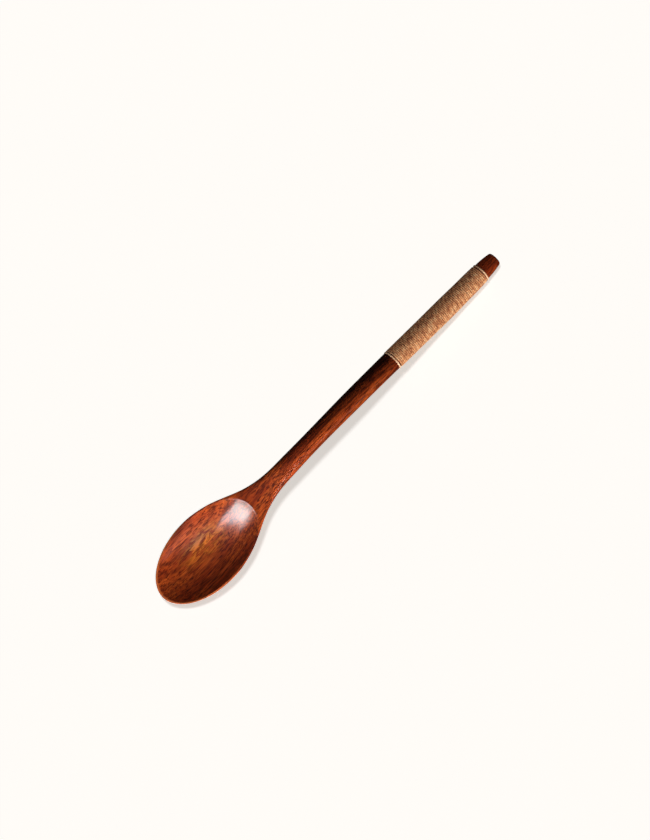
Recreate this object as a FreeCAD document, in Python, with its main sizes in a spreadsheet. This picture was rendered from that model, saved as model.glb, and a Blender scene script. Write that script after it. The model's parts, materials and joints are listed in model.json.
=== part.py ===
# Carved wooden spoon with a thread-bound grip.
#
# Row frame, millimetres: +X runs from the bowl's tip to the butt of the handle, +Y to the
# left seen from above, +Z up. The spoon lies as it does on a table, bowl open upwards: it
# stands on the small sanded flat under the bowl and on the underside of the binding near
# the butt, both at Z = 0. The origin is the middle of the overall box, on the table.
#
# The wooden piece is carved from one billet: bowl, neck, shank and butt. The binding is
# one thread: a close winding in a shallow rebate of the shank, a locking turn at each end
# of it, and the two ends of the thread buried lengthwise under the turns.
import FreeCAD, Part
import os
import math
import Sketcher

V = FreeCAD.Vector
doc = FreeCAD.newDocument("bound_grip_spoon")
sheet = doc.addObject("Spreadsheet::Sheet", "Dimensions")
_row = [1]


def cell(alias, value, note=""):
    r = _row[0]
    _row[0] += 1
    sheet.set("A%d" % r, alias)
    sheet.set("B%d" % r, repr(float(value)))
    sheet.setAlias("B%d" % r, alias)
    if note:
        sheet.set("C%d" % r, note)


# ------------------------------------------------------------------ driving dimensions
cell("tip_x", -115.0, "bowl tip")
cell("butt_x", 115.0, "end of the handle")
cell("bowl_mid_x", -85.1, "station of the widest part of the bowl")
cell("bowl_half_width", 17.84, "half width of the bowl at its widest")
cell("bowl_plan_exp", 1.97, "plan exponent of the nose of the bowl")
cell("rim_tip_z", 7.6, "height of the rim at the tip")
cell("rim_rise", 0.095, "rise of the rim plane per mm towards the handle")
cell("bowl_depth_out", 10.58, "outside depth of the bowl below the rim plane")
cell("nose_exp", 1.3, "fullness of the outside of the bowl below its rim")
cell("hollow_mid_x", -85.05, "centre of the hollow")
cell("hollow_half_length", 29.0, "half length of the hollow at the rim plane")
cell("hollow_half_width", 16.72, "half width of the hollow at the rim plane")
cell("hollow_depth", 8.1, "depth of the hollow below the rim plane")
cell("hollow_plan_exp_tip", 2.0, "plan exponent of the hollow, tip side")
cell("hollow_plan_exp_neck", 2.2, "plan exponent of the hollow, neck side")
cell("hollow_wall_exp", 2.3, "how flat the floor of the hollow is")
cell("rim_round", 0.3, "rounding of the hollow's edge")
cell("butt_round", 0.9, "rounding of the butt end")
cell("rest_cut", 6.0, "height of the block that cuts the resting flat")
cell("thread_d", 0.85, "diameter of the binding thread as wound")
cell("turn_lean", -0.07, "slope of the turns' normal: they lie this far from upright, all parallel")
cell("turn_gap", 0.02, "slack left beside and under a locking turn")
cell("tail_w", 1.10, "width of a buried thread end, pressed flat")
cell("tail_h", 0.44, "thickness of a buried thread end, pressed flat")
cell("tail_len", 14.0, "length of a buried thread end")

# stations of the blank behind the middle of the bowl:
# x, half width, height of the widest line, crown above it, depth below it
BLANK = [
    (-85.1, 17.84, 10.44, 0.25, 10.58),
    (-80.0, 17.62, 10.93, 0.25, 10.60),
    (-76.0, 16.98, 11.31, 0.25, 10.33),
    (-72.0, 16.05, 11.69, 0.25, 9.86),
    (-68.0, 14.82, 12.07, 0.26, 9.17),
    (-64.0, 13.18, 12.45, 0.28, 8.33),
    (-60.0, 11.40, 12.83, 0.33, 7.40),
    (-56.0, 9.58, 13.20, 0.45, 6.48),
    (-52.0, 8.00, 13.57, 0.68, 5.66),
    (-48.0, 6.80, 13.96, 1.05, 4.98),
    (-44.0, 5.92, 14.38, 1.50, 4.48),
    (-40.0, 5.35, 14.82, 2.02, 4.14),
    (-36.0, 5.06, 15.25, 2.56, 3.96),
    (-30.0, 4.92, 15.84, 3.24, 3.88),
    (-22.0, 4.75, 16.44, 3.80, 3.92),
    (-12.0, 4.66, 16.83, 4.03, 4.03),
    (0.0, 4.73, 16.74, 4.14, 4.14),
    (12.0, 4.88, 16.12, 4.27, 4.27),
    (24.0, 4.94, 14.98, 4.32, 4.32),
    (36.0, 4.99, 13.36, 4.37, 4.37),
    (42.2, 5.03, 12.37, 4.40, 4.40),
    (56.0, 5.03, 10.02, 4.40, 4.40),
    (68.0, 5.03, 8.12, 4.40, 4.40),
    (80.0, 5.02, 6.48, 4.39, 4.39),
    (92.0, 4.90, 5.20, 4.29, 4.29),
    (100.0, 4.72, 4.70, 4.13, 4.13),
    (105.4, 4.56, 4.55, 3.99, 3.99),
    (110.0, 4.26, 4.52, 3.74, 3.74),
    (115.0, 3.50, 4.55, 3.06, 3.06),
]
for i, st in enumerate(BLANK):
    for key, v in zip(("x", "halfw", "edgez", "crown", "depth"), st):
        cell("blank_%02d_%s" % (i, key), v)

# stations of the rebated core under the winding: x of the centre line, half width, half height
CORE = [
    (42.2, 4.52, 3.95),
    (56.0, 4.53, 3.96),
    (70.0, 4.57, 3.99),
    (82.0, 4.57, 3.99),
    (90.0, 4.43, 3.87),
    (98.0, 4.36, 3.80),
    (105.4, 4.13, 3.60),
]
for i, st in enumerate(CORE):
    for key, v in zip(("x", "halfw", "halfh"), st):
        cell("core_%02d_%s" % (i, key), v)
doc.recompute()


def G(alias):
    return float(sheet.get(alias))


# ------------------------------------------------------------------ smooth curves through stations
def natural_cubic(xs, ys, slope0=None):
    """Cubic spline through (xs, ys); natural at the far end, slope0 or natural at the first."""
    n = len(xs)
    h = [xs[i + 1] - xs[i] for i in range(n - 1)]
    a = [0.0] * n
    b = [1.0] * n
    c = [0.0] * n
    d = [0.0] * n
    if slope0 is not None:
        b[0], c[0] = 2 * h[0], h[0]
        d[0] = 6 * ((ys[1] - ys[0]) / h[0] - slope0)
    for i in range(1, n - 1):
        a[i], b[i], c[i] = h[i - 1], 2 * (h[i - 1] + h[i]), h[i]
        d[i] = 6 * ((ys[i + 1] - ys[i]) / h[i] - (ys[i] - ys[i - 1]) / h[i - 1])
    for i in range(1, n):
        m = a[i] / b[i - 1]
        b[i] -= m * c[i - 1]
        d[i] -= m * d[i - 1]
    M = [0.0] * n
    M[-1] = d[-1] / b[-1]
    for i in range(n - 2, -1, -1):
        M[i] = (d[i] - c[i] * M[i + 1]) / b[i]

    def f(x, der=0):
        k = 0
        while k < n - 2 and x > xs[k + 1]:
            k += 1
        t, u = x - xs[k], xs[k + 1] - x
        if der:
            return (
                -M[k] * u * u / (2 * h[k]) + M[k + 1] * t * t / (2 * h[k])
                + (ys[k + 1] - ys[k]) / h[k] - (M[k + 1] - M[k]) * h[k] / 6
            )
        return (
            M[k] * u ** 3 / (6 * h[k]) + M[k + 1] * t ** 3 / (6 * h[k])
            + (ys[k] / h[k] - M[k] * h[k] / 6) * u + (ys[k + 1] / h[k] - M[k + 1] * h[k] / 6) * t
        )

    return f


NB = len(BLANK)
bx = [G("blank_%02d_x" % i) for i in range(NB)]
f_w = natural_cubic(bx, [G("blank_%02d_halfw" % i) for i in range(NB)], 0.0)
f_e = natural_cubic(bx, [G("blank_%02d_edgez" % i) for i in range(NB)], G("rim_rise"))
f_u = natural_cubic(bx, [G("blank_%02d_crown" % i) for i in range(NB)], 0.0)
f_d = natural_cubic(bx, [G("blank_%02d_depth" % i) for i in range(NB)], 0.0)
NC = len(CORE)
cx = [G("core_%02d_x" % i) for i in range(NC)]
f_cw = natural_cubic(cx, [G("core_%02d_halfw" % i) for i in range(NC)], 0.0)
f_ch = natural_cubic(cx, [G("core_%02d_halfh" % i) for i in range(NC)], 0.0)

TIP, BUTT, MID = G("tip_x"), G("butt_x"), G("bowl_mid_x")


def smooth(x, a, b):
    t = max(0.0, min(1.0, (x - a) / (b - a)))
    return t * t * (3 - 2 * t)


def blank_at(x):
    """half width, edge height, crown, depth, (plan, height) exponents above and below, at station x."""
    if x < MID:
        q = max(0.0, 1 - ((MID - x) / (MID - TIP)) ** G("bowl_plan_exp"))
        w = G("bowl_half_width") * q ** (1 / G("bowl_plan_exp"))
        e = G("rim_tip_z") + G("rim_rise") * (x - TIP)
        u = 0.25 * q ** 0.35
        d = G("bowl_depth_out") * q ** (1 / G("nose_exp"))
    else:
        w, e, u, d = f_w(x), f_e(x), f_u(x), f_d(x)
    k = smooth(x, -68.0, -26.0)
    return w, e, u, d, (8.0 - 6.0 * k, 2.0), (2.1 - 0.1 * k, G("nose_exp") + (2 - G("nose_exp")) * k)


def half_section(x, above, n):
    """Points of one half of the section at x, from the left edge to the right edge."""
    w, e, u, d, up, lo = blank_at(x)
    a, b = up if above else lo
    h = u if above else -d
    pts = []
    for i in range(n + 1):
        r = math.cos(math.pi * i / n)
        if i in (0, n):
            f = 0.0
        else:
            f = max(0.0, 1 - abs(r) ** a) ** (1 / b)
        pts.append(V(x, w * r, e + h * f))
    return pts


def skin(rows, cross, params):
    """One smooth surface through rows of points: every row a curve over cross, the rows placed at params."""
    curves = []
    for pts in rows:
        c = Part.BSplineCurve()
        if (pts[0] - pts[-1]).Length < 1e-9:
            curves.append(None)
            continue
        c.interpolate(Points=pts, Parameters=cross)
        curves.append(c)
    ref = [c for c in curves if c is not None][0]
    poles = [[rows[i][0]] * ref.NbPoles if c is None else c.getPoles() for i, c in enumerate(curves)]
    grid = []
    for k in range(ref.NbPoles):
        c = Part.BSplineCurve()
        c.interpolate(Points=[p[k] for p in poles], Parameters=params)
        grid.append(c.getPoles())
    s = Part.BSplineSurface()
    s.buildFromPolesMultsKnots(
        grid, ref.getMultiplicities(), c.getMultiplicities(), ref.getKnots(), c.getKnots(), False, False, ref.Degree, c.Degree
    )
    return s


# ------------------------------------------------------------------ the wooden piece
# the nose of the bowl takes closer stations, because its outline turns fast there
nose_t = [0.0, 0.07, 0.14, 0.22, 0.3, 0.4, 0.5, 0.6, 0.7, 0.8, 0.9, 1.0]
back = [-80, -76, -72, -68, -64, -60, -56, -52, -48, -44, -40, -36, -32, -27, -21, -12, 0, 12, 24, 36, 47, 58, 69, 80, 91, 99, 105.7, 110, BUTT]
stations = [TIP + (MID - TIP) * t * t for t in nose_t] + back
params = nose_t + [1 + (x - MID) / (2 * (MID - TIP)) for x in back]
faces = []
for above, n in ((True, 16), (False, 24)):
    rows = [half_section(x, above, n) for x in stations]
    rows[0] = [V(TIP, 0, G("rim_tip_z"))] * (n + 1)
    srf = skin(rows, [i / n for i in range(n + 1)], params)
    faces.append(srf.toShape())
end = [e for f in faces for e in f.Edges if e.BoundBox.XMin > BUTT - 1e-6]
faces.append(Part.Face(Part.Wire(Part.__sortEdges__(end))))
shell = Part.makeShell(faces)
shell.sewShape()
solid = Part.makeSolid(shell)
if solid.Volume < 0:
    solid.reverse()
blank = doc.addObject("Part::Feature", "carved_blank")
blank.Shape = solid
print("blank", solid.isValid(), solid.Volume, len(solid.Faces))


# the hollow: level curves of one bowl-shaped surface, each in a plane parallel to the rim plane
def hollow_curve(rho, n=48):
    xm, a, b = G("hollow_mid_x"), G("hollow_half_length"), G("hollow_half_width")
    pf, pn, k = G("hollow_plan_exp_tip"), G("hollow_plan_exp_neck"), G("hollow_wall_exp")
    if rho <= 1:
        z0 = -G("hollow_depth") * (1 - rho ** k)
    else:
        z0 = (rho - 1) * G("hollow_depth") * k
    pts = []
    for i in range(n):
        th = 2 * math.pi * i / n
        c, s = math.cos(th), math.sin(th)
        # the exponent of the plan changes smoothly from the tip side to the neck side
        p = pf + (pn - pf) * (0.5 + 0.5 * c) if c > 0 else pf + (pn - pf) * (0.5 + 0.5 * c)
        r = (abs(c) ** p + abs(s) ** p) ** (-1 / p)
        x = xm + rho * a * r * c
        y = rho * b * r * s
        z = G("rim_tip_z") + G("rim_rise") * (x - TIP) + z0
        pts.append(V(x, y, z))
    cv = Part.BSplineCurve()
    cv.interpolate(Points=pts, PeriodicFlag=True)
    return Part.Wire([cv.toShape()])


rhos = [0.06, 0.16, 0.28, 0.40, 0.52, 0.64, 0.75, 0.85, 0.93, 1.0, 1.06, 1.14]
level_curves = []
for i, rho in enumerate(rhos):
    o = doc.addObject("Part::Feature", "hollow_level_%02d" % i)
    o.Shape = hollow_curve(rho)
    level_curves.append(o)
hollow = doc.addObject("Part::Loft", "bowl_hollow_tool")
hollow.Sections = level_curves
hollow.Solid = True
hollow.Ruled = False
doc.recompute()

bowl_cut = doc.addObject("Part::Cut", "bowl_cut")
bowl_cut.Base = blank
bowl_cut.Tool = hollow

rest = doc.addObject("Part::Box", "resting_flat_block")
rest.Length, rest.Width, rest.Height = 60, 60, 6
rest.setExpression("Height", "Dimensions.rest_cut")
rest.setExpression("Placement.Base.x", "Dimensions.bowl_mid_x - 30")
rest.setExpression("Placement.Base.y", "-30")
rest.setExpression("Placement.Base.z", "-Dimensions.rest_cut")
flat_cut = doc.addObject("Part::Cut", "flat_cut")
flat_cut.Base = bowl_cut
flat_cut.Tool = rest
doc.recompute()


# ------------------------------------------------------------------ sections across the handle's centre line
def centre(x):
    """centre of the handle at station x, and the slope of its centre line."""
    return V(x, 0, f_e(x)), f_e(x, 1)


def plane_at(x):
    """Placement of a sketch across the handle at x: its X along the row's +Y, its normal along the lean of the turns."""
    p, s = centre(x)
    n = V(1, 0, G("turn_lean")).normalize()
    ey = V(0, 1, 0)
    m = FreeCAD.Matrix(ey.x, n.cross(ey).x, n.x, p.x, ey.y, n.cross(ey).y, n.y, p.y, ey.z, n.cross(ey).z, n.z, p.z, 0, 0, 0, 1)
    return FreeCAD.Placement(m)


def ellipse_in(sk, rw, rh, w_expr, h_expr):
    """A centred ellipse, half width rw and half height rh, held by constraints that follow the sheet."""
    wide = rw >= rh
    e = Part.Ellipse(V(rw, 0, 0), V(0, rh, 0), V(0, 0, 0)) if wide else Part.Ellipse(V(0, rh, 0), V(-rw, 0, 0), V(0, 0, 0))
    g = sk.addGeometry(e, False)
    sk.exposeInternalGeometry(g)
    sk.addConstraint(Sketcher.Constraint("Coincident", g, 3, -1, 1))
    sk.addConstraint(Sketcher.Constraint("Horizontal" if wide else "Vertical", 1))
    c = sk.addConstraint(Sketcher.Constraint("Distance", 1, 2 * max(rw, rh)))
    sk.renameConstraint(c, "major")
    c = sk.addConstraint(Sketcher.Constraint("Distance", 2, 2 * min(rw, rh)))
    sk.renameConstraint(c, "minor")
    sk.setExpression("Constraints.major", "2 * (%s)" % (w_expr if wide else h_expr))
    sk.setExpression("Constraints.minor", "2 * (%s)" % (h_expr if wide else w_expr))


def core_expr(x):
    """Sheet expressions for the core's half width and half height at a core station or between two of them."""
    for i in range(NC):
        if abs(cx[i] - x) < 1e-9:
            return "Dimensions.core_%02d_halfw" % i, "Dimensions.core_%02d_halfh" % i
    i = max(k for k in range(NC - 1) if cx[k] < x)
    t = (x - cx[i]) / (cx[i + 1] - cx[i])
    mix = "Dimensions.core_%02d_%s * %.9f + Dimensions.core_%02d_%s * %.9f"
    return (mix % (i, "halfw", 1 - t, i + 1, "halfw", t), mix % (i, "halfh", 1 - t, i + 1, "halfh", t))


def core_size(x):
    for i in range(NC - 1):
        if cx[i] - 1e-9 <= x <= cx[i + 1] + 1e-9:
            t = (x - cx[i]) / (cx[i + 1] - cx[i])
            a = [G("core_%02d_halfw" % k) for k in (i, i + 1)]
            b = [G("core_%02d_halfh" % k) for k in (i, i + 1)]
            return a[0] * (1 - t) + a[1] * t, b[0] * (1 - t) + b[1] * t
    raise ValueError(x)


def part_loft(name, xs, grow):
    """Part::Loft through ellipse sketches across the handle, grown all round by grow thread diameters."""
    sks = []
    for i, x in enumerate(xs):
        sk = doc.addObject("Sketcher::SketchObject", "%s_section_%02d" % (name, i))
        rw, rh = core_size(x)
        we, he = core_expr(x)
        extra = " + Dimensions.thread_d * %g" % grow if grow else ""
        ellipse_in(sk, rw + grow * G("thread_d"), rh + grow * G("thread_d"), we + extra, he + extra)
        sk.Placement = plane_at(x)
        sks.append(sk)
    lf = doc.addObject("Part::Loft", name)
    lf.Sections = sks
    lf.Solid = True
    lf.Ruled = False
    return lf


x0, x1 = cx[0], cx[-1]
core_x = list(cx)
core_loft = part_loft("winding_core", core_x, 0)
zone = part_loft("rebate_zone", [x0, 58.0, 74.0, 90.0, x1], 4.0)
rebate = doc.addObject("Part::Cut", "rebate_tool")
rebate.Base = zone
rebate.Tool = core_loft
rebated = doc.addObject("Part::Cut", "rebated")
rebated.Base = flat_cut
rebated.Tool = rebate
doc.recompute()

# rounding: the hollow's edge and the butt end
spoon = doc.addObject("Part::Fillet", "wooden_spoon")
spoon.Base = rebated
rim_ids, butt_ids = [], []
for i, e in enumerate(rebated.Shape.Edges, 1):
    b = e.BoundBox
    if b.XMin > BUTT - 0.01:
        butt_ids.append(i)
    elif b.XMax < -50 and b.ZMax > 12.0 and len(e.Faces if hasattr(e, "Faces") else []) >= 0:
        m = e.valueAt((e.FirstParameter + e.LastParameter) / 2)
        w, ez, u, d, up, lo = blank_at(m.x)
        if abs(m.y) < w - 0.4 and m.z > ez - 0.5:
            rim_ids.append(i)
print("rim edges", rim_ids, "butt edges", butt_ids)
spoon.Edges = [(i, G("rim_round"), G("rim_round")) for i in rim_ids] + [(i, G("butt_round"), G("butt_round")) for i in butt_ids]
doc.recompute()

# ------------------------------------------------------------------ the winding: the outer shape of the coil
TD, GAP = G("thread_d"), G("turn_gap")


def along(x, dist):
    """station of the parallel plane that lies dist further along from the one at x."""
    m = G("turn_lean")
    return x + dist * math.sqrt(1 + m * m) / (1 + m * f_e(x, 1))


xa, xb = along(x0, TD + GAP), along(x1, -(TD + GAP))
coil = part_loft("winding_outer", [x0, cx[1], cx[2], cx[3], cx[4], cx[5], x1], 1.0)
# the coil keeps clear of the locking turn at each end
slab_a = doc.addObject("Part::Box", "coil_end_a")
slab_b = doc.addObject("Part::Box", "coil_end_b")
for slab, x, side in ((slab_a, xa, -1), (slab_b, xb, 1)):
    slab.Length, slab.Width, slab.Height = 30, 30, 10
    p = plane_at(x)
    off = V(-15, -15, -10 if side < 0 else 0)
    slab.Placement = FreeCAD.Placement(p.multVec(off), p.Rotation)


# ------------------------------------------------------------------ bodies made in their own sketches
def body_sketch(body, name, x, dz=0.0):
    """A sketch in the body, on its YZ plane, moved to station x and tipped across the centre line; dz moves it along the section's height."""
    sk = body.newObject("Sketcher::SketchObject", name)
    plane = [o for o in body.Origin.OriginFeatures if o.Role == "YZ_Plane"][0]
    sk.AttachmentSupport = (plane, [""])
    sk.MapMode = "FlatFace"
    want = plane_at(x)
    want = FreeCAD.Placement(want.multVec(V(0, dz, 0)), want.Rotation)
    base = FreeCAD.Placement(FreeCAD.Matrix(0, 0, 1, 0, 1, 0, 0, 0, 0, 1, 0, 0, 0, 0, 0, 1))
    sk.AttachmentOffset = base.inverse().multiply(want)
    return sk


def locking_turn(label, x):
    """One turn of the thread: a round section carried once round the core."""
    body = doc.addObject("PartDesign::Body", label)
    body.Label = label
    path = body_sketch(body, label + "_path", x)
    rw, rh = core_size(x)
    we, he = core_expr(x)
    off = TD / 2 + GAP / 2
    extra = " + Dimensions.thread_d / 2 + Dimensions.turn_gap / 2"
    ellipse_in(path, rw + off, rh + off, we + extra, he + extra)
    prof = body.newObject("Sketcher::SketchObject", label + "_profile")
    plane = [o for o in body.Origin.OriginFeatures if o.Role == "XZ_Plane"][0]
    prof.AttachmentSupport = (plane, [""])
    prof.MapMode = "FlatFace"
    p = plane_at(x).multVec(V(0, rh + off, 0))
    # the XZ plane's sketch has its X along +X and its Y along +Z
    g = prof.addGeometry(Part.Circle(V(p.x, p.z, 0), V(0, 0, 1), TD / 2), False)
    c = prof.addConstraint(Sketcher.Constraint("Radius", g, TD / 2))
    prof.renameConstraint(c, "thread_radius")
    prof.setExpression("Constraints.thread_radius", "Dimensions.thread_d / 2")
    c = prof.addConstraint(Sketcher.Constraint("DistanceX", -1, 1, g, 3, p.x))
    c = prof.addConstraint(Sketcher.Constraint("DistanceY", -1, 1, g, 3, p.z))
    doc.recompute()
    pipe = body.newObject("PartDesign::AdditivePipe", label + "_turn")
    pipe.Profile = prof
    pipe.Spine = (path, ["Edge1"])
    body.Tip = pipe
    doc.recompute()
    return body


lower_turn = locking_turn("lower_locking_turn", along(x0, TD / 2 + GAP / 2))
upper_turn = locking_turn("upper_locking_turn", along(x1, -(TD / 2 + GAP / 2)))


def buried_end(label, xs):
    """A thread end pressed flat between the core's underside and the turns that bury it."""
    body = doc.addObject("PartDesign::Body", label)
    body.Label = label
    sks = []
    for i, x in enumerate(xs):
        rw, rh = core_size(x)
        sk = body_sketch(body, "%s_section_%d" % (label, i), x, -(rh + G("tail_h") / 2 + 0.04))
        ellipse_in(sk, G("tail_w") / 2, G("tail_h") / 2, "Dimensions.tail_w / 2", "Dimensions.tail_h / 2")
        sks.append(sk)
    doc.recompute()
    lf = body.newObject("PartDesign::AdditiveLoft", label + "_loft")
    lf.Profile = sks[0]
    lf.Sections = sks[1:]
    lf.Ruled = False
    body.Tip = lf
    doc.recompute()
    return body


tl = G("tail_len")
xs_a = [xa + tl * i / 3 for i in range(4)]
xs_b = [xb - tl * (3 - i) / 3 for i in range(4)]
start_end = buried_end("buried_start_end", xs_a)
finish_end = buried_end("buried_finish_end", xs_b)

coil_shell = doc.addObject("Part::Cut", "coil_shell")
coil_shell.Base = coil
coil_shell.Tool = core_loft
coil_trim = doc.addObject("Part::MultiFuse", "coil_trim_tools")
coil_trim.Shapes = [slab_a, slab_b]
coil_cut = doc.addObject("Part::Cut", "coil_trimmed")
coil_cut.Base = coil_shell
coil_cut.Tool = coil_trim
winding_a = doc.addObject("Part::Cut", "winding_over_start")
winding_a.Base = coil_cut
winding_a.Tool = start_end
winding = doc.addObject("Part::Cut", "thread_winding")
winding.Base = winding_a
winding.Tool = finish_end
doc.recompute()

# ------------------------------------------------------------------ checks and export
nodes = {
    "wooden_spoon": spoon,
    "thread_winding": winding,
    "lower_locking_turn": lower_turn,
    "upper_locking_turn": upper_turn,
    "buried_start_end": start_end,
    "buried_finish_end": finish_end,
}
bad = [o.Name for o in doc.Objects if any(s in ("Invalid", "Error") for s in o.State)]
if bad:
    raise RuntimeError("features that failed: %s" % bad)
for name, o in nodes.items():
    o.Label = name
    s = o.Shape
    if s.isNull() or not s.isValid() or not s.Solids:
        raise RuntimeError("%s has no valid solid" % name)
    b = s.optimalBoundingBox(False, False)
    print("%-20s solids %d volume %9.2f  x %.3f..%.3f y %.3f..%.3f z %.3f..%.3f" % (name, len(s.Solids), s.Volume, b.XMin, b.XMax, b.YMin, b.YMax, b.ZMin, b.ZMax))
os.makedirs("parts", exist_ok=True)
for name, o in nodes.items():
    o.Shape.exportStep("parts/%s.step" % name)
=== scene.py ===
import bpy
import math
import numpy as np
from mathutils import Vector, Matrix
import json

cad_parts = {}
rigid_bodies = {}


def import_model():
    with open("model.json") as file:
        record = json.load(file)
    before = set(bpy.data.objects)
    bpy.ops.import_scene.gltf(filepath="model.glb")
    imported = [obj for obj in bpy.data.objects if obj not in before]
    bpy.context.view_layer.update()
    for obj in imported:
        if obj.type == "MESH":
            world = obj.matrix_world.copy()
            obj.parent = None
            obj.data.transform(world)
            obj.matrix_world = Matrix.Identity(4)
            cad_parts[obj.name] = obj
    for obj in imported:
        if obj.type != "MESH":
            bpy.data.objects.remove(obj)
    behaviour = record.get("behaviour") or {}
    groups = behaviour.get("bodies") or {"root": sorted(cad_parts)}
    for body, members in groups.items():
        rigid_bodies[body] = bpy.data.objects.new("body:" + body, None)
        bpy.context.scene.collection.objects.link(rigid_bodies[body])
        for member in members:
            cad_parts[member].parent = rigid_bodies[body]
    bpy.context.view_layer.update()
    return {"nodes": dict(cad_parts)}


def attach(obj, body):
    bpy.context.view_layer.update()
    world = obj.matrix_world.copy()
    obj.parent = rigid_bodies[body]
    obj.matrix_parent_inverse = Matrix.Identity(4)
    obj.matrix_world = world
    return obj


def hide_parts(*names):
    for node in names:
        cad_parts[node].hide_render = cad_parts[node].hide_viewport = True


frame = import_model()
MM = 0.001
rng = np.random.default_rng(7)

# ------------------------------------------------------------------ the spoon's dimensions (as in the CAD)
TIP, BUTT, MID = -115.0, 115.0, -85.1
BOWL_HALF, PLAN_EXP = 17.84, 1.97
RIM_Z, RIM_RISE = 7.6, 0.095
BOWL_DEPTH, NOSE_EXP = 10.58, 1.3
HOL_X, HOL_A, HOL_B, HOL_D = -85.05, 29.0, 16.72, 8.1
HOL_PT, HOL_PN, HOL_K = 2.0, 2.2, 2.3
THREAD = 0.85
X0, X1 = 42.2, 105.4
LEAN = -0.07  # slope of the turns' common normal
BLANK = np.array(
    [
        (-85.1, 17.84, 10.44, 0.25, 10.58),
        (-80.0, 17.62, 10.93, 0.25, 10.60),
        (-76.0, 16.98, 11.31, 0.25, 10.33),
        (-72.0, 16.05, 11.69, 0.25, 9.86),
        (-68.0, 14.82, 12.07, 0.26, 9.17),
        (-64.0, 13.18, 12.45, 0.28, 8.33),
        (-60.0, 11.40, 12.83, 0.33, 7.40),
        (-56.0, 9.58, 13.20, 0.45, 6.48),
        (-52.0, 8.00, 13.57, 0.68, 5.66),
        (-48.0, 6.80, 13.96, 1.05, 4.98),
        (-44.0, 5.92, 14.38, 1.50, 4.48),
        (-40.0, 5.35, 14.82, 2.02, 4.14),
        (-36.0, 5.06, 15.25, 2.56, 3.96),
        (-30.0, 4.92, 15.84, 3.24, 3.88),
        (-22.0, 4.75, 16.44, 3.80, 3.92),
        (-12.0, 4.66, 16.83, 4.03, 4.03),
        (0.0, 4.73, 16.74, 4.14, 4.14),
        (12.0, 4.88, 16.12, 4.27, 4.27),
        (24.0, 4.94, 14.98, 4.32, 4.32),
        (36.0, 4.99, 13.36, 4.37, 4.37),
        (42.2, 5.03, 12.37, 4.40, 4.40),
        (56.0, 5.03, 10.02, 4.40, 4.40),
        (68.0, 5.03, 8.12, 4.40, 4.40),
        (80.0, 5.02, 6.48, 4.39, 4.39),
        (92.0, 4.90, 5.20, 4.29, 4.29),
        (100.0, 4.72, 4.70, 4.13, 4.13),
        (105.4, 4.56, 4.55, 3.99, 3.99),
        (110.0, 4.26, 4.52, 3.74, 3.74),
        (115.0, 3.50, 4.55, 3.06, 3.06),
    ]
)
CORE = np.array(
    [
        (42.2, 4.52, 3.95),
        (56.0, 4.53, 3.96),
        (70.0, 4.57, 3.99),
        (82.0, 4.57, 3.99),
        (90.0, 4.43, 3.87),
        (98.0, 4.36, 3.80),
        (105.4, 4.13, 3.60),
    ]
)


class Spline:
    """Cubic spline through points: given slope at the first, natural at the last."""

    def __init__(self, xs, ys, slope0):
        self.x, self.y = np.asarray(xs, float), np.asarray(ys, float)
        n = len(xs)
        h = np.diff(self.x)
        A, r = np.zeros((n, n)), np.zeros(n)
        A[0, 0], A[0, 1] = 2 * h[0], h[0]
        r[0] = 6 * ((self.y[1] - self.y[0]) / h[0] - slope0)
        for i in range(1, n - 1):
            A[i, i - 1], A[i, i], A[i, i + 1] = h[i - 1], 2 * (h[i - 1] + h[i]), h[i]
            r[i] = 6 * ((self.y[i + 1] - self.y[i]) / h[i] - (self.y[i] - self.y[i - 1]) / h[i - 1])
        A[-1, -1] = 1
        self.M, self.h = np.linalg.solve(A, r), h

    def __call__(self, x, der=0):
        x = np.asarray(x, float)
        k = np.clip(np.searchsorted(self.x, x) - 1, 0, len(self.h) - 1)
        t, u, h = x - self.x[k], self.x[k + 1] - x, self.h[k]
        a, b, ya, yb = self.M[k], self.M[k + 1], self.y[k], self.y[k + 1]
        if der:
            return -a * u * u / (2 * h) + b * t * t / (2 * h) + (yb - ya) / h - (b - a) * h / 6
        return a * u**3 / (6 * h) + b * t**3 / (6 * h) + (ya / h - a * h / 6) * u + (yb / h - b * h / 6) * t


f_w = Spline(BLANK[:, 0], BLANK[:, 1], 0.0)
f_e = Spline(BLANK[:, 0], BLANK[:, 2], RIM_RISE)
f_u = Spline(BLANK[:, 0], BLANK[:, 3], 0.0)
f_d = Spline(BLANK[:, 0], BLANK[:, 4], 0.0)
f_cw = Spline(CORE[:, 0], CORE[:, 1], 0.0)
f_ch = Spline(CORE[:, 0], CORE[:, 2], 0.0)


def smooth(x, a, b):
    t = np.clip((np.asarray(x, float) - a) / (b - a), 0, 1)
    return t * t * (3 - 2 * t)


def blank_at(x):
    x = np.asarray(x, float)
    q = np.clip(1 - np.clip((MID - x) / (MID - TIP), 0, 1) ** PLAN_EXP, 0, 1)
    nose = x < MID
    w = np.where(nose, BOWL_HALF * q ** (1 / PLAN_EXP), f_w(x))
    e = np.where(nose, RIM_Z + RIM_RISE * (x - TIP), f_e(x))
    u = np.where(nose, 0.25 * q**0.35, f_u(x))
    d = np.where(nose, BOWL_DEPTH * q ** (1 / NOSE_EXP), f_d(x))
    k = smooth(x, -68, -26)
    return w, e, u, d, 8 - 6 * k, 2.1 - 0.1 * k, NOSE_EXP + (2 - NOSE_EXP) * k


def hollow_z(x, y):
    dx = (x - HOL_X) / HOL_A
    v = np.abs(y) / HOL_B
    th = np.arctan2(v, dx)
    p = HOL_PT + (HOL_PN - HOL_PT) * (0.5 + 0.5 * np.cos(th))
    rho = (np.abs(dx) ** p + v**p) ** (1 / p)
    zr = RIM_Z + RIM_RISE * (x - TIP)
    return zr + np.where(rho <= 1, -HOL_D * (1 - np.clip(rho, 0, 1) ** HOL_K), (rho - 1) * HOL_D * HOL_K)


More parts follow.
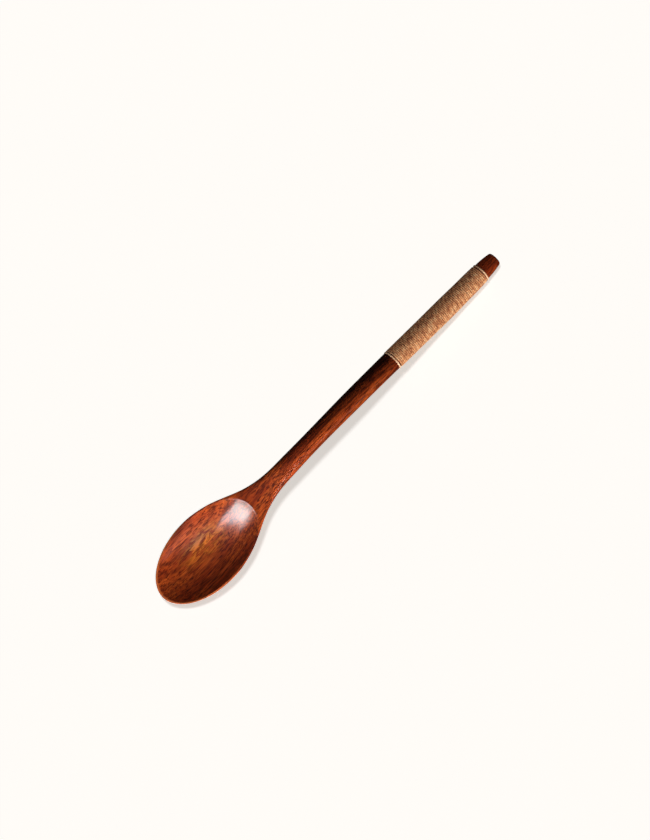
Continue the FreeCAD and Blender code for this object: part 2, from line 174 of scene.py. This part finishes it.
def smin(a, b, r):
    h = np.clip(r - np.abs(a - b), 0, None) / r
    return np.minimum(a, b) - h * h * r / 4


def top_z(x, v):
    w, e, u, d, a, la, lb = blank_at(x)
    deck = e + u * np.clip(1 - np.abs(v) ** a, 0, 1) ** 0.5
    return np.where(x < -50, smin(deck, hollow_z(x, v * w), 0.24), deck)


def hull_z(x, v):
    w, e, u, d, a, la, lb = blank_at(x)
    z = e - d * np.clip(1 - np.abs(v) ** la, 0, 1) ** (1 / lb)
    return np.where(x < -60, -smin(-z, 0 * z, 0.03), z)


def rim_half(x):
    """half width of the hollow's edge at x"""
    t = np.clip(1 - (np.abs(x - HOL_X) / (HOL_A * 1.010)) ** 2.1, 0, 1)
    return HOL_B * 1.010 * t ** (1 / 2.1)


# ------------------------------------------------------------------ the carved wood, one closed quad mesh
N_LAND, N_RIM, N_IN, N_HULL = 9, 8, 26, 56
N_TOP = 2 * (N_LAND + N_RIM + N_IN)  # segments across the top


def top_fractions(x):
    """y / half width of the points across the top at station x, from +1 to -1, following the hollow's edge."""
    w = float(blank_at(x)[0])
    even = np.cos(np.pi * np.arange(N_TOP + 1) / N_TOP)
    if x > -40 or w < 1e-6:
        return even
    yv = math.hypot(float(rim_half(x)), 0.16 * w)
    yv = min(yv, 0.95 * w)
    dl = min(0.34, 0.3 * yv, 0.45 * (w - yv))
    half = [w - (w - yv - dl) * (1 - math.cos(math.pi / 2 * j / N_LAND)) for j in range(N_LAND)]
    half += [yv + dl - 2 * dl * j / N_RIM for j in range(N_RIM)]
    half += [(yv - dl) * (1 - j / N_IN) for j in range(N_IN)]
    half = np.array(half + [0.0]) / w
    mine = np.concatenate([half, -half[:-1][::-1]])
    k = float(smooth(x, -54.0, -42.0))
    return mine * (1 - k) + even * k


def ring_at(s, mode="blank", inset=0.0, flat_x=None):
    """One closed ring of points round the wood at station s."""
    vt = top_fractions(s)
    vh = -np.cos(np.pi * np.arange(1, N_HULL) / N_HULL)
    g = float(smooth(s, -25, 15)) * (1 - float(smooth(s, 107, 113)))
    sl = LEAN
    if mode == "core":
        n = math.hypot(1, sl)
        cw, ch = float(f_cw(s)), float(f_ch(s))
        v = np.concatenate([vt, vh])
        side = np.concatenate([np.ones(len(vt)), -np.ones(len(vh))])
        hgt = side * ch * np.sqrt(np.clip(1 - v * v, 0, 1))
        return np.stack([s - hgt * sl / n, v * cw, float(f_e(s)) + hgt / n], 1)
    out = []
    for v, fn in ((vt, top_z), (vh, hull_z)):
        X = np.full(len(v), s, float)
        for _ in range(5):
            Z = fn(X, v)
            X = s - g * sl * (Z - float(blank_at(s)[1]))
        Z = fn(X, v)
        W = blank_at(X)[0]
        out.append(np.stack([X, v * W, Z], 1))
    P = np.concatenate(out)
    if inset:
        w, e, u, d = [float(q) for q in blank_at(s)[:4]]
        P[:, 1] *= (w - inset) / w
        P[:, 2] = e + (P[:, 2] - e) * (u - inset) / u
    if flat_x is not None:
        P[:, 0] = flat_x
    return P


def carved_stations():
    t = np.arange(1, 101) / 100
    a = TIP + (MID - TIP) * t * t
    b = np.arange(MID + 0.5, -57.65, 0.5)
    c = np.arange(-57.6, -54.4, 0.1)
    d = np.arange(-54.1, -30.0, 0.5)
    e = np.arange(-30.0, X0 - 0.3, 0.8)
    return np.concatenate([a, b, c, d, e])


def wood_rings():
    rings = [ring_at(s) for s in carved_stations()]
    rings.append(ring_at(X0))
    rings += [ring_at(s, "core") for s in np.linspace(X0, X1, 46)]
    rings += [ring_at(s) for s in np.arange(X1, BUTT - 0.95, 0.45)]
    r = 0.9
    for al in np.linspace(0, math.pi / 2, 9):
        s = BUTT - r + r * math.sin(al)
        rings.append(ring_at(s, inset=r * (1 - math.cos(al)), flat_x=s))
    w, e, u, d = [float(q) for q in blank_at(BUTT)[:4]]
    last = rings[-1]
    c = np.array([BUTT, 0.0, e])
    for k in (0.75, 0.5, 0.25):
        rings.append(c + (last - c) * k)
    return rings, c


def mesh_from_rings(name, rings, first=None, last=None, closed_ends=True):
    """Quads between rings of equal count, closed by a fan to the first and last points."""
    n = len(rings[0])
    co = np.concatenate(rings)
    m = len(rings)
    base = (np.arange(m - 1)[:, None] * n + np.arange(n)[None, :]).reshape(-1)
    nxt = (np.arange(m - 1)[:, None] * n + (np.arange(n)[None, :] + 1) % n).reshape(-1)
    quads = np.stack([base, base + n, nxt + n, nxt], 1)
    faces = [tuple(int(i) for i in q) for q in quads]
    extra = []
    if first is not None:
        k = len(co) + len(extra)
        extra.append(first)
        faces += [(k, i, (i + 1) % n) for i in range(n)]
    if last is not None:
        k = len(co) + len(extra)
        extra.append(last)
        o = (m - 1) * n
        faces += [(o + (i + 1) % n, o + i, k) for i in range(n)]
    if extra:
        co = np.concatenate([co, np.array(extra)])
    me = bpy.data.meshes.new(name)
    me.from_pydata((co * MM).tolist(), [], faces)
    me.validate()
    me.update()
    ob = bpy.data.objects.new(name, me)
    bpy.context.scene.collection.objects.link(ob)
    me.polygons.foreach_set("use_smooth", np.ones(len(me.polygons), bool))
    return ob


def fix_normals(ob):
    import bmesh

    bm = bmesh.new()
    bm.from_mesh(ob.data)
    bmesh.ops.recalc_face_normals(bm, faces=bm.faces)
    if bm.calc_volume(signed=True) < 0:
        bmesh.ops.reverse_faces(bm, faces=bm.faces)
    bm.to_mesh(ob.data)
    bm.free()


rings, end = wood_rings()
wood = mesh_from_rings("carved_wood", rings, first=np.array([TIP, 0, RIM_Z]), last=end)
fix_normals(wood)
wood.data.set_sharp_from_angle(angle=math.radians(50))
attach(wood, "root")
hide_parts("wooden_spoon")
# how near each point is to the bowl's outer edge round the tip, where a paler orange line is painted on as a
# highlight, standing in for the light the rim's rounded edge catches
co = np.empty(len(wood.data.vertices) * 3, np.float32)
wood.data.vertices.foreach_get("co", co)
co = co.reshape(-1, 3) / MM
rho = (np.clip((MID - co[:, 0]) / (MID - TIP), 0, None) ** PLAN_EXP + (np.abs(co[:, 1]) / BOWL_HALF) ** PLAN_EXP) ** (1 / PLAN_EXP)
near = smooth(rho, 0.950, 0.978) * (1 - smooth(co[:, 0], -96, -78)) * smooth(co[:, 2], 3.0, 6.5)
wood.data.attributes.new("thin_lacquer", "FLOAT", "POINT").data.foreach_set("value", near.astype(np.float32))

# ------------------------------------------------------------------ the thread, wound turn by turn
TURNS = 64
WIDE = 0.93  # the thread's width along the grip, pressed against its neighbours
PLY_LAY = 3.0
PLY_TURNS = 6 + 1 / 9  # twists of the plies in one turn round the grip


def tail_cover(s, phi):
    """1 where a turn rides over a buried thread end on the underside, else 0, with soft edges."""
    side = np.abs((phi + math.pi / 2 + math.pi) % (2 * math.pi) - math.pi) * 4.2
    across = 1 - smooth(side, 0.45, 1.25)
    along = np.maximum(1 - smooth(s, X0 + 15.1, X0 + 16.4), smooth(s, X1 - 16.4, X1 - 15.1))
    return across * along


def thread_frame(s, phi, off):
    """Point at angle phi round the core at station s, off outside it, with outward and axial unit vectors."""
    sl = np.full(np.shape(s), LEAN)
    n = np.hypot(1, sl)
    rw, rh = f_cw(s), f_ch(s)
    c, sn = np.cos(phi), np.sin(phi)
    # outward normal of the ellipse in the section plane
    ny, nz = c / rw, sn / rh
    L = np.hypot(ny, nz)
    ny, nz = ny / L, nz / L
    y, h = rw * c + ny * off, rh * sn + nz * off
    P = np.stack([s - h * sl / n, y, f_e(s) + h / n], -1)
    out = np.stack([-nz * sl / n, ny, nz / n], -1)
    ax = np.stack([1 / n, 0 * n, sl / n], -1) * np.ones_like(out)
    return P, out, ax


def wound_thread(name, s, phi, dia, lay, phase=0.0, closed=False, n_sec=12, lobe=0.10, squash=None, end_taper=0.0, twist=None):
    """A three-ply thread following (s, phi) round the core, its plies carved as lobes of the section."""
    g = tail_cover(s, phi) * 0.47 if squash is None else squash
    th = dia - g
    P, out, ax = thread_frame(s, phi, g + th / 2)
    step = np.linalg.norm(np.diff(P, axis=0), axis=1)
    L = np.concatenate([[0], np.cumsum(step)])
    if closed:
        total = L[-1] + np.linalg.norm(P[0] - P[-1])
        lay = total / round(total / lay)
    tw = 2 * math.pi * L / lay + phase if twist is None else twist
    a = 2 * math.pi * np.arange(n_sec) / n_sec
    rings = []
    rad_h = th / 2
    rad_w = (WIDE if dia == THREAD and not closed else dia) / 2
    if end_taper:
        total = L[-1]
        k = np.clip(np.minimum(L, total - L) / end_taper, 0, 1) ** 0.5
        rad_h = rad_h * (0.35 + 0.65 * k)
        rad_w = rad_w * (0.35 + 0.65 * k)
    A = a[None, :]
    lob = 1 - lobe + lobe * np.abs(np.cos(1.5 * (A - tw[:, None]))) ** 0.8
    R = P[:, None, :] + (np.cos(A) * lob)[..., None] * (out * np.reshape(rad_h * np.ones(len(s)), (-1, 1)))[:, None, :] + (np.sin(A) * lob)[..., None] * (ax * np.reshape(rad_w * np.ones(len(s)), (-1, 1)))[:, None, :]
    rings = [R[i] for i in range(len(s))]
    if closed:
        ob = mesh_torus(name, R)
    else:
        ob = mesh_from_rings(name, rings, first=P[0], last=P[-1])
    fix_normals(ob)
    return ob, float(L[-1])


def mesh_torus(name, R):
    m, n = R.shape[:2]
    i = np.arange(m)[:, None]
    j = np.arange(n)[None, :]
    q = np.stack([i * n + j, ((i + 1) % m) * n + j, ((i + 1) % m) * n + (j + 1) % n, i * n + (j + 1) % n], -1).reshape(-1, 4)
    me = bpy.data.meshes.new(name)
    me.from_pydata((R.reshape(-1, 3) * MM).tolist(), [], [tuple(int(k) for k in f) for f in q])
    me.update()
    ob = bpy.data.objects.new(name, me)
    bpy.context.scene.collection.objects.link(ob)
    me.polygons.foreach_set("use_smooth", np.ones(len(me.polygons), bool))
    return ob


def station_after(x, dist):
    return x + dist * math.sqrt(1 + LEAN * LEAN) / (1 + LEAN * float(f_e(x, 1)))


sa = station_after(X0, 0.87 + THREAD / 2)
sb = station_after(X1, -(0.87 + THREAD / 2))
N = 6900
tt = np.linspace(0, 1, N)
turn = tt * TURNS
# small unevenness in the lay of the turns
wob = 0.035 * np.sin(turn * 2 * math.pi * 0.113 + 1.0) + 0.02 * np.sin(turn * 2 * math.pi * 0.37 + 0.4)
wob *= smooth(tt, 0, 0.02) * (1 - smooth(tt, 0.98, 1))
s_w = sa + (sb - sa) * tt + wob
phi_w = -math.pi / 2 + 2 * math.pi * turn
winding, thread_len = wound_thread("wound_thread", s_w, phi_w, THREAD, PLY_LAY, end_taper=1.2, twist=2 * math.pi * turn * PLY_TURNS + 1.3 * np.sin(turn * 0.9) + 0.8 * np.sin(turn * 0.37 + 2))
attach(winding, "root")
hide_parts("thread_winding")

phi_r = np.linspace(0, 2 * math.pi, 160, endpoint=False)
for nm, s, dia, node in (("lower_end_turn", station_after(X0, 0.435), 0.85, "lower_locking_turn"), ("upper_end_turn", station_after(X1, -0.435), 0.85, "upper_locking_turn")):
    ob, _ = wound_thread(nm, np.full(160, s), phi_r, dia, 2.6, closed=True, squash=np.zeros(160), lobe=0.06)
    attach(ob, "root")
    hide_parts(node)
print("thread in the winding, mm:", round(thread_len), "turns", TURNS)

# ------------------------------------------------------------------ colours (8-bit sRGB) and light settings
W_DARK, W_MID, W_WARM, W_GOLD, W_GOLD2 = (104, 33, 14), (156, 58, 22), (190, 82, 31), (210, 106, 40), (240, 132, 40)
FLOOR_GLOW = (0.66, 0.628, 0.590, 1)
SUN_AZ, SUN_EL, SUN_ANGLE, SUN_POWER = 305, 81, 8.0, 1.31
WORLD = 0.014
WARM, CLEAR, LILAC, ROSE = (1.0, 0.99, 0.96), (0.90, 1.0, 0.99), (0.93, 0.92, 1.0), (1.0, 0.84, 0.82)
HAND, BOWL, NECK, GRIP = (0.0, 0, 0.012), (-0.075, 0, 0.008), (-0.042, 0, 0.012), (0.074, 0, 0.007)
LIGHTS = [
    ("key", 155, 26, 0.8, (0.4, 0.14), 1.35, WARM, dict(aim=HAND, shine=False)),
    ("key_low", 137, 10, 0.8, (0.4, 0.14), 4.3, WARM, dict(aim=HAND, shine=False)),
    ("bowl_top", 148, 52, 0.26, (0.06, 0.06), 0.0200, WARM, dict(aim=BOWL, spread=40, shine=False)),
    ("neck_top", 142, 38, 0.26, (0.05, 0.05), 0.0125, WARM, dict(aim=NECK, spread=34, shine=False)),
    ("rim_line", 214, 5, 0.6, (0.25, 0.06), 1.8, WARM, dict(aim=BOWL)),
    ("edge_line", 128, 18, 0.8, (0.4, 0.12), 0.26, (1.0, 0.82, 0.78), dict(aim=HAND, matte=False)),
    ("sheen_a", 221, 35, 0.28, (0.185, 0.060), 0.84, CLEAR, dict(aim=BOWL, matte=False)),
    ("sheen_b", 212, 46, 0.28, (0.165, 0.050), 0.42, LILAC, dict(aim=BOWL, matte=False)),
    ("sheen_c", 200, 55, 0.28, (0.080, 0.050), 0.05, LILAC, dict(aim=BOWL, matte=False)),
    ("sheen_d", 246, 36, 0.28, (0.090, 0.075), 0.26, ROSE, dict(aim=BOWL, matte=False)),
    ("butt_top", 205, 62, 0.20, (0.04, 0.04), 0.0030, WARM, dict(aim=(0.112, 0, 0.006), spread=26, shine=False, on="wood")),
    ("thread_fill", 292, 50, 0.5, (0.3, 0.2), 0.11, WARM, dict(aim=GRIP, on="thread")),
    ("thread_top", 200, 68, 0.5, (0.3, 0.2), 0.60, WARM, dict(aim=GRIP, on="thread")),
    ("thread_key", 140, 16, 0.5, (0.3, 0.2), 0.85, WARM, dict(aim=GRIP, on="thread")),
]


# ------------------------------------------------------------------ materials
def new_mat(name):
    m = bpy.data.materials.new(name)
    m.use_nodes = True
    nt = m.node_tree
    nt.nodes.clear()
    out = nt.nodes.new("ShaderNodeOutputMaterial")
    b = nt.nodes.new("ShaderNodeBsdfPrincipled")
    nt.links.new(b.outputs[0], out.inputs[0])
    return m, nt, b


def node(nt, kind, **kw):
    n = nt.nodes.new(kind)
    for k, v in kw.items():
        if k.startswith("i_"):
            key = k[2:]
            key = int(key) if key.isdigit() else key.replace("_", " ")
            n.inputs[key].default_value = v
        else:
            setattr(n, k, v)
    return n


def ramp(nt, stops, interp="LINEAR"):
    r = nt.nodes.new("ShaderNodeValToRGB")
    r.color_ramp.interpolation = interp
    els = r.color_ramp.elements
    while len(els) > 1:
        els.remove(els[-1])
    els[0].position, els[0].color = stops[0][0], (*stops[0][1], 1)
    for p, c in stops[1:]:
        e = els.new(p)
        e.color = (*c, 1)
    return r


def srgb(r, g, b):
    return tuple(((c / 255) / 12.92 if c <= 10 else (((c / 255) + 0.055) / 1.055) ** 2.4) for c in (r, g, b))


def math_node(nt, op, a, b=None, clamp=False):
    n = nt.nodes.new("ShaderNodeMath")
    n.operation, n.use_clamp = op, clamp
    for i, v in ((0, a), (1, b)):
        if v is None:
            continue
        if isinstance(v, (int, float)):
            n.inputs[i].default_value = v
        else:
            nt.links.new(v, n.inputs[i])
    return n.outputs[0]


def mix_col(nt, fac, a, b, mode="MIX"):
    n = nt.nodes.new("ShaderNodeMix")
    n.data_type, n.blend_type = "RGBA", mode
    for key, v in ((0, fac), (6, a), (7, b)):
        if isinstance(v, (int, float)):
            n.inputs[key].default_value = v
        elif isinstance(v, tuple):
            n.inputs[key].default_value = (*v, 1)
        else:
            nt.links.new(v, n.inputs[key])
    return n.outputs[2]


def map_range(nt, v, lo, hi, a=0.0, b=1.0, smoothstep=True):
    n = nt.nodes.new("ShaderNodeMapRange")
    n.interpolation_type = "SMOOTHSTEP" if smoothstep else "LINEAR"
    nt.links.new(v, n.inputs[0])
    for i, x in ((1, lo), (2, hi), (3, a), (4, b)):
        n.inputs[i].default_value = x
    return n.outputs[0]


def mapped(nt, scale, loc=(0, 0, 0), rot=(0, 0, 0)):
    """Object coordinates, scaled from metres."""
    tc = nt.nodes.new("ShaderNodeTexCoord")
    m = nt.nodes.new("ShaderNodeMapping")
    m.inputs["Scale"].default_value = scale
    m.inputs["Location"].default_value = loc
    m.inputs["Rotation"].default_value = rot
    nt.links.new(tc.outputs["Object"], m.inputs[0])
    return m.outputs[0]


def noise(nt, vec, scale=1.0, detail=3.0, rough=0.5, dist=0.0):
    n = nt.nodes.new("ShaderNodeTexNoise")
    n.inputs["Scale"].default_value = scale
    n.inputs["Detail"].default_value = detail
    n.inputs["Roughness"].default_value = rough
    n.inputs["Distortion"].default_value = dist
    nt.links.new(vec, n.inputs["Vector"])
    return n.outputs["Fac"]


def blob(nt, centre, radii, lo=0.0, hi=1.0):
    """1 inside an ellipsoid given in millimetres, falling smoothly to 0 at its surface."""
    tc = nt.nodes.new("ShaderNodeTexCoord")
    m = nt.nodes.new("ShaderNodeMapping")
    m.inputs["Scale"].default_value = tuple(1000.0 / r for r in radii)
    m.inputs["Location"].default_value = tuple(-c / r for c, r in zip(centre, radii))
    nt.links.new(tc.outputs["Object"], m.inputs[0])
    v = nt.nodes.new("ShaderNodeVectorMath")
    v.operation = "LENGTH"
    nt.links.new(m.outputs[0], v.inputs[0])
    return map_range(nt, v.outputs["Value"], hi, lo)


# the wood: red-brown with long streaks along the grain, open pores, a wiped lacquer and a painted highlight along the
# bowl's rim round the tip
m_wood, nt, b = new_mat("lacquered_wood")
tone = noise(nt, mapped(nt, (24, 190, 190)), 1.0, 4.0, 0.58, 0.25)
base = ramp(nt, [(0.24, srgb(*W_DARK)), (0.44, srgb(*W_MID)), (0.62, srgb(*W_WARM)), (0.80, srgb(*W_GOLD))])
nt.links.new(tone, base.inputs[0])
fibre = noise(nt, mapped(nt, (125, 1650, 1650), loc=(3, 1, 5)), 1.0, 3.0, 0.62, 0.05)
col = mix_col(nt, map_range(nt, fibre, 0.37, 0.57, 0.86, 0.0), base.outputs[0], srgb(62, 18, 9))
wave = nt.nodes.new("ShaderNodeTexWave")
wave.wave_type, wave.bands_direction, wave.wave_profile = "BANDS", "Y", "SIN"
wave.inputs["Scale"].default_value = 1.0
wave.inputs["Distortion"].default_value = 5.0
wave.inputs["Detail"].default_value = 3.0
wave.inputs["Detail Scale"].default_value = 0.7
nt.links.new(mapped(nt, (9, 95, 120), rot=(0.45, 0, 0.02)), wave.inputs["Vector"])
col = mix_col(nt, map_range(nt, wave.outputs["Fac"], 0.62, 1.0, 0.0, 0.36), col, srgb(58, 18, 10))
# a golden figure in the middle of the bowl and on the neck
gold = math_node(nt, "MULTIPLY", blob(nt, (-83, 4.6, 5), (20, 9.0, 16)), map_range(nt, noise(nt, mapped(nt, (150, 520, 520), loc=(1.7, 4, 2)), 1.0, 3.0, 0.6, 0.8), 0.42, 0.62, 0.1, 1.0))
col = mix_col(nt, math_node(nt, "MULTIPLY", gold, 0.88), col, srgb(*W_GOLD2))
# pores: short dark dashes along the grain
pn = noise(nt, mapped(nt, (150, 1750, 1750), loc=(9, 2, 6)), 1.0, 2.0, 0.5, 0.0)
pore = map_range(nt, pn, 0.585, 0.66)
patch = map_range(nt, noise(nt, mapped(nt, (45, 160, 160), loc=(5, 5, 1)), 1.0, 2.0, 0.5, 0.0), 0.40, 0.62, 0.25, 1.0)
pore = math_node(nt, "MULTIPLY", pore, patch)
col = mix_col(nt, math_node(nt, "MULTIPLY", pore, 0.66), col, srgb(34, 10, 6))
# painted highlight: blend towards pale orange along the bowl's rim round the tip
at = nt.nodes.new("ShaderNodeAttribute")
at.attribute_name = "thin_lacquer"
col = mix_col(nt, math_node(nt, "MULTIPLY", at.outputs["Fac"], 0.85), col, srgb(214, 112, 58))
nt.links.new(col, b.inputs["Base Color"])
rg = math_node(nt, "ADD", math_node(nt, "MULTIPLY", fibre, 0.16), 0.42)
nt.links.new(rg, b.inputs["Roughness"])
b.inputs["IOR"].default_value = 1.5
b.inputs["Specular IOR Level"].default_value = 0.06
b.inputs["Coat Weight"].default_value = 0.8
b.inputs["Coat Roughness"].default_value = 0.20
b.inputs["Coat IOR"].default_value = 1.5
hgt = math_node(nt, "SUBTRACT", math_node(nt, "MULTIPLY", fibre, 0.5), math_node(nt, "MULTIPLY", pore, 0.8))
bm = nt.nodes.new("ShaderNodeBump")
bm.inputs["Strength"].default_value = 0.14
bm.inputs["Distance"].default_value = 0.00012
nt.links.new(hgt, bm.inputs["Height"])
nt.links.new(bm.outputs[0], b.inputs["Normal"])
bc = nt.nodes.new("ShaderNodeBump")
bc.inputs["Strength"].default_value = 0.10
bc.inputs["Distance"].default_value = 0.00008
nt.links.new(hgt, bc.inputs["Height"])
nt.links.new(bc.outputs[0], b.inputs["Coat Normal"])
wood.data.materials.append(m_wood)


def thread_mat(name, dark, mid, pale, plies):
    m, nt, b = new_mat(name)
    n1 = noise(nt, mapped(nt, (420, 420, 420)), 1.0, 3.0, 0.6, 0.5)
    r = ramp(nt, [(0.30, srgb(*dark)), (0.50, srgb(*mid)), (0.72, srgb(*pale))])
    nt.links.new(n1, r.inputs[0])
    n2 = noise(nt, mapped(nt, (2600, 5200, 5200), loc=(4, 4, 4)), 1.0, 3.0, 0.6, 0.4)
    col = mix_col(nt, map_range(nt, n2, 0.40, 0.62, 0.30, 0.0), r.outputs[0], srgb(*dark))
    # painted shade: dark wavy bands standing in for the shade in the crevices between the plies; plies sets how dark
    # they are
    wv = nt.nodes.new("ShaderNodeTexWave")
    wv.wave_type, wv.bands_direction, wv.wave_profile = "BANDS", "X", "SIN"
    wv.inputs["Scale"].default_value = 1.0
    wv.inputs["Distortion"].default_value = 2.6
    wv.inputs["Detail"].default_value = 2.0
    wv.inputs["Detail Scale"].default_value = 1.6
    nt.links.new(mapped(nt, (175, 175, 120), rot=(0.5, 0.3, 0.62)), wv.inputs["Vector"])
    col = mix_col(nt, map_range(nt, wv.outputs["Fac"], 0.05, 0.75, plies, 0.0), col, srgb(*dark))
    nt.links.new(col, b.inputs["Base Color"])
    b.inputs["Roughness"].default_value = 0.78
    b.inputs["Sheen Weight"].default_value = 0.12
    b.inputs["Sheen Roughness"].default_value = 0.5
    b.inputs["Specular IOR Level"].default_value = 0.28
    bp = nt.nodes.new("ShaderNodeBump")
    bp.inputs["Strength"].default_value = 0.5
    bp.inputs["Distance"].default_value = 0.00006
    nt.links.new(n2, bp.inputs["Height"])
    nt.links.new(bp.outputs[0], b.inputs["Normal"])
    return m


m_thr = thread_mat("binding_thread", (152, 82, 47), (229, 162, 108), (250, 206, 154), 0.44)
# painted light: a paler copy of the thread's colours, with fainter crevice bands, for the two end turns, standing in
# for the light they catch where no neighbouring turn shades them
m_ring_painted_lit = thread_mat("binding_thread_painted_lit", (206, 148, 106), (246, 198, 154), (253, 226, 192), 0.15)
winding.data.materials.append(m_thr)
for nm in ("lower_end_turn", "upper_end_turn"):
    bpy.data.objects[nm].data.materials.append(m_ring_painted_lit)
for nm in ("buried_start_end", "buried_finish_end"):
    o = frame["nodes"][nm]
    for i in range(len(o.material_slots)):
        o.material_slots[i].material = m_thr

# ------------------------------------------------------------------ floor, light and camera
me = bpy.data.meshes.new("floor")
S = 3.0
me.from_pydata([(-S, -S, -0.0002), (S, -S, -0.0002), (S, S, -0.0002), (-S, S, -0.0002)], [], [(0, 1, 2, 3)])
floor = bpy.data.objects.new("floor", me)
bpy.context.scene.collection.objects.link(floor)
m_floor, nt, b = new_mat("floor")
fn = noise(nt, mapped(nt, (9, 9, 9)), 1.0, 2.0, 0.5, 0.0)
fcol = mix_col(nt, map_range(nt, fn, 0.3, 0.7), (0.802, 0.815, 0.810), (0.797, 0.810, 0.805))
nt.links.new(fcol, b.inputs["Base Color"])
b.inputs["Roughness"].default_value = 0.95
b.inputs["Specular IOR Level"].default_value = 0.0
b.inputs["Emission Color"].default_value = FLOOR_GLOW
b.inputs["Emission Strength"].default_value = 1.0
floor.data.materials.append(m_floor)
floor.visible_glossy = False
floor.visible_diffuse = False

AZ, EL, DIST, LENS = math.radians(-46.37), math.radians(78.0), 1.6790, 150.0
back = Vector((math.sin(AZ) * math.cos(EL), -math.cos(AZ) * math.cos(EL), math.sin(EL)))
R = Vector((math.cos(AZ), math.sin(AZ), 0))
F = Vector((-math.sin(AZ), math.cos(AZ), 0))
target = R * (-0.00282) + F * 0.00426
cam = bpy.data.cameras.new("camera")
cam.lens = LENS
cam_ob = bpy.data.objects.new("camera", cam)
bpy.context.scene.collection.objects.link(cam_ob)
cam_ob.location = target + back * DIST
cam_ob.rotation_euler = (-back).to_track_quat("-Z", "Y").to_euler()
bpy.context.scene.camera = cam_ob

spoon = [wood, winding] + [bpy.data.objects[n] for n in ("lower_end_turn", "upper_end_turn")] + [frame["nodes"][n] for n in ("buried_start_end", "buried_finish_end")]


def only_on(light, objs):
    c = bpy.data.collections.new(light.name + "_lights")
    for o in objs:
        c.objects.link(o)
    light.light_linking.receiver_collection = c


def aimed(light, name, az, el, dist, aim):
    """Stand a light on the side az, in degrees clockwise from the picture's top, at elevation el."""
    o = bpy.data.objects.new(name, light)
    bpy.context.scene.collection.objects.link(o)
    a, e = math.radians(az), math.radians(el)
    d = (F * math.cos(a) + R * math.sin(a)) * math.cos(e) + Vector((0, 0, 1)) * math.sin(e)
    o.location = Vector(aim) + d * dist
    o.rotation_euler = (-d).to_track_quat("-Z", "Y").to_euler()
    return o


def area(name, az, el, dist, size, power, color=(1, 1, 1), aim=(0, 0, 0.01), spread=180, matte=True, shine=True, on="all"):
    l = bpy.data.lights.new(name, "AREA")
    l.shape = "RECTANGLE"
    l.size, l.size_y = size
    l.energy = power
    l.color = color
    l.spread = math.radians(spread)
    o = aimed(l, name, az, el, dist, aim)
    o.visible_diffuse, o.visible_glossy = matte, shine
    only_on(o, spoon if on == "all" else [t for t in spoon if (t is wood) == (on == "wood")])
    return o


sun = bpy.data.lights.new("table_light", "SUN")
sun.angle = math.radians(SUN_ANGLE)
sun.energy = SUN_POWER
o = aimed(sun, "table_light", SUN_AZ, SUN_EL, 1.0, (0, 0, 0))
only_on(o, [floor])

for row in LIGHTS:
    area(*row[:7], **row[7])
w = bpy.data.worlds.new("studio")
w.use_nodes = True
w.node_tree.nodes["Background"].inputs[0].default_value = (1, 0.96, 0.98, 1)
w.node_tree.nodes["Background"].inputs[1].default_value = WORLD
bpy.context.scene.world = w
vs = bpy.context.scene.view_settings
vs.view_transform = "Standard"
vs.look = "None"

import json
